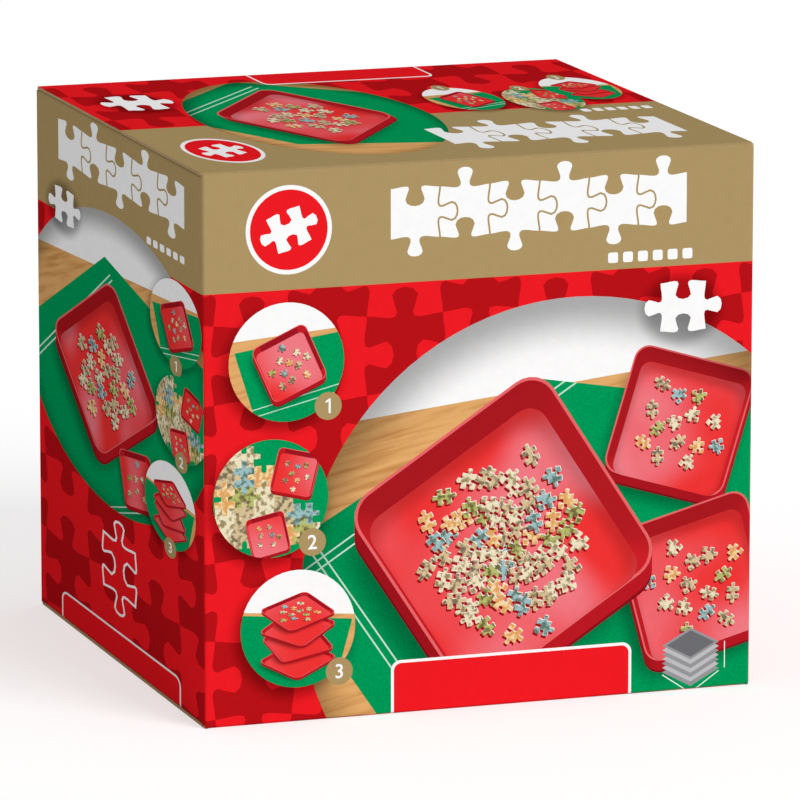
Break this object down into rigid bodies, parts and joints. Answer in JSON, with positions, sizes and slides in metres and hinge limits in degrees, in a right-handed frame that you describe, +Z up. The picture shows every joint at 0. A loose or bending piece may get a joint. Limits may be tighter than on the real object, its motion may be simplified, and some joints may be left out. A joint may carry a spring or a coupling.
{
  "type": "boxed set of puzzle sorting trays",
  "caption": "Square printed retail carton with a hinged tuck-in lid, holding a nested stack of shallow square sorting trays with rounded corners.",
  "frame": {"origin": "centre of the carton's underside, on the surface it stands on", "axes": "+Z up, +X to the right of the printed front, +Y towards the back; the front faces -Y"},
  "size_m": [0.208, 0.208, 0.2],
  "materials": {
    "printed_board": "satin coated print on white paper, laminated to brown fine corrugated board",
    "tray_plastic": "satin red moulded plastic"
  },
  "bodies": {
    "carton": {"carton_body": "printed_board", "tray_1": "tray_plastic", "tray_2": "tray_plastic", "tray_3": "tray_plastic", "tray_4": "tray_plastic", "tray_5": "tray_plastic", "tray_6": "tray_plastic"},
    "lid": {"tuck_lid": "printed_board"}
  },
  "joints": [
    {"name": "lid_fold", "type": "hinge", "parent": "carton", "child": "lid", "pos_m": [0, 0.104, 0.1988], "axis": [-1, 0, 0], "range_deg": [0, 180]}
  ]
}
